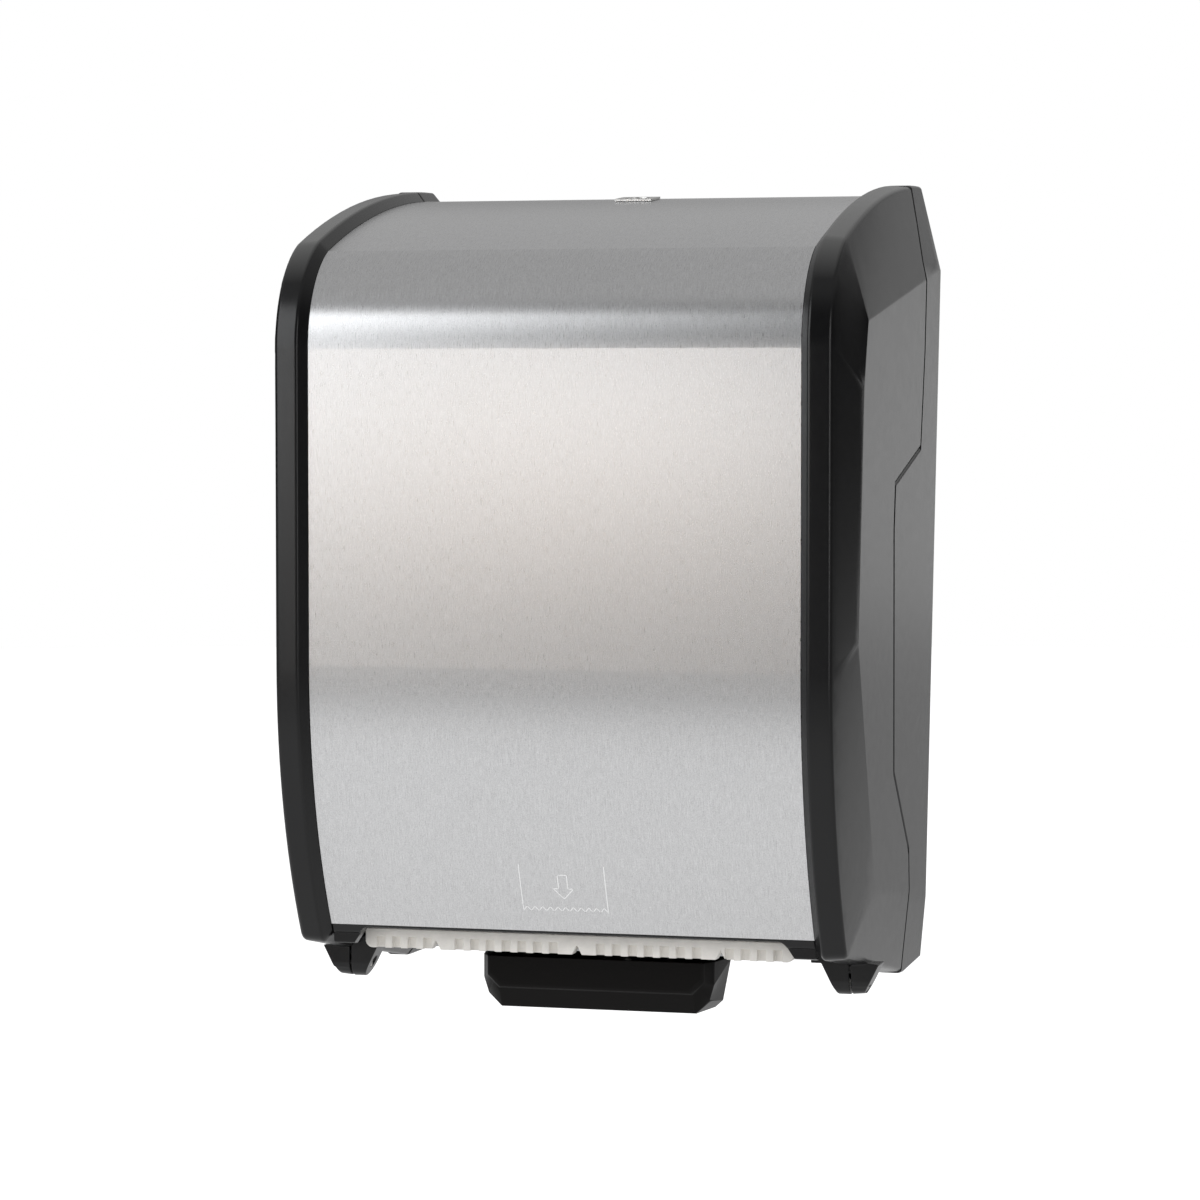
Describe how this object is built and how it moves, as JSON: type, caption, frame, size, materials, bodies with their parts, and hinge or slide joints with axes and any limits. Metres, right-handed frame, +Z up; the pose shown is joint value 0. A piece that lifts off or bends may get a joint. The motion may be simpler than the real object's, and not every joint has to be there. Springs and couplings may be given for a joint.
{
  "type": "paper towel dispenser",
  "caption": "Wall-mounted roll towel dispenser: brushed steel cover with black side ribs, hinged at the foot, over a knife drum with push lever, roll arms and white outlet guide.",
  "frame": {"origin": "centre of the four wall screw holes, on the wall plane", "axes": "+X to the right as seen by a person facing the dispenser, +Y into the wall, +Z up"},
  "size_m": [0.3192, 0.236, 0.4465],
  "materials": {
    "black_shell": "fine-textured satin black moulding",
    "brushed_steel": "vertical brushed stainless",
    "white_guide": "warm white moulding",
    "black_lever": "semi-gloss black moulding",
    "grey_frame": "dark grey moulding",
    "grey_drum": "mid grey moulding",
    "zinc_steel": "zinc-plated steel",
    "spring_steel": "bright spring steel",
    "lock_metal": "satin nickel",
    "black_rubber": "matt rubber"
  },
  "bodies": {
    "housing": {"rear_housing": "black_shell", "chassis_left": "black_shell", "chassis_right": "black_shell", "chassis_screws": "zinc_steel", "side_screws": "zinc_steel", "base_tray": "black_shell", "towel_guide": "white_guide", "chute_rear": "grey_frame", "drum_bush_left": "white_guide", "drum_bush_right": "white_guide", "lever_pin": "zinc_steel", "lever_spring": "spring_steel", "spring_post": "zinc_steel", "drum_spring": "spring_steel", "lock_keeper": "zinc_steel", "roll_arm_left": "grey_frame", "roll_bracket": "grey_frame", "roll_pivot_pin": "zinc_steel"},
    "cover": {"cheek_left": "black_shell", "cheek_right": "black_shell", "steel_panel": "brushed_steel", "panel_studs": "zinc_steel", "cover_lip": "black_shell", "top_rail": "black_shell", "lock_plate": "lock_metal", "cover_screws": "zinc_steel", "hinge_pins": "zinc_steel"},
    "lock": {"lock_barrel": "lock_metal", "lock_cam": "zinc_steel"},
    "lever": {"feed_lever": "black_lever", "pawl": "white_guide"},
    "drum": {"drum_shaft": "zinc_steel", "drum_end_left": "grey_drum", "drum_end_right": "grey_drum", "drum_shell_front": "grey_drum", "drum_shell_rear": "grey_drum", "ratchet_wheel": "white_guide", "spring_crank": "zinc_steel", "feed_knob": "black_lever", "knife_pin": "zinc_steel"},
    "knife": {"knife_carrier": "grey_frame", "knife_blade": "spring_steel"},
    "pinch": {"pinch_shaft": "zinc_steel", "pinch_sleeves": "black_rubber"},
    "arm_right": {"roll_arm_right": "grey_frame"},
    "hub_left": {"roll_hub_left": "white_guide"},
    "hub_right": {"roll_hub_right": "white_guide"}
  },
  "joints": [
    {"name": "cover_hinge", "type": "hinge", "parent": "housing", "child": "cover", "pos_m": [0, -0.135, -0.222], "axis": [1, 0, 0], "range_deg": [0, 95]},
    {"name": "lock_turn", "type": "hinge", "parent": "cover", "child": "lock", "pos_m": [0, -0.056, 0.18], "axis": [0, 0, 1], "range_deg": [0, 90]},
    {"name": "lever_push", "type": "hinge", "parent": "housing", "child": "lever", "pos_m": [0, -0.13, -0.183], "axis": [1, 0, 0], "range_deg": [0, 14], "stiffness_Nm_per_rad": 1, "springref_deg": -5.73, "deforming": ["lever_spring"]},
    {"name": "drum_spin", "type": "hinge", "parent": "housing", "child": "drum", "pos_m": [0, -0.131, -0.121], "axis": [1, 0, 0], "continuous": true, "deforming": ["drum_spring"]},
    {"name": "knife_swing", "type": "hinge", "parent": "drum", "child": "knife", "pos_m": [0, -0.13832, -0.14832], "axis": [-1, 0, 0], "range_deg": [0, 28], "stiffness_Nm_per_rad": 0.4, "springref_deg": -11.46},
    {"name": "pinch_spin", "type": "hinge", "parent": "housing", "child": "pinch", "pos_m": [0, -0.1747, -0.0904], "axis": [1, 0, 0], "continuous": true},
    {"name": "roll_arm_swing", "type": "hinge", "parent": "housing", "child": "arm_right", "pos_m": [0.112, -0.012, 0.076], "axis": [0, 0, 1], "range_deg": [0, 15], "stiffness_Nm_per_rad": 1.5, "springref_deg": -8.59},
    {"name": "roll_hub_left_spin", "type": "hinge", "parent": "housing", "child": "hub_left", "pos_m": [-0.099, -0.118, 0.076], "axis": [1, 0, 0], "continuous": true},
    {"name": "roll_hub_right_spin", "type": "hinge", "parent": "arm_right", "child": "hub_right", "pos_m": [0.099, -0.118, 0.076], "axis": [1, 0, 0], "continuous": true}
  ],
  "couplings": [
    {"joint": "pinch_spin", "follows": "drum_spin", "ratio": -3.8182}
  ]
}
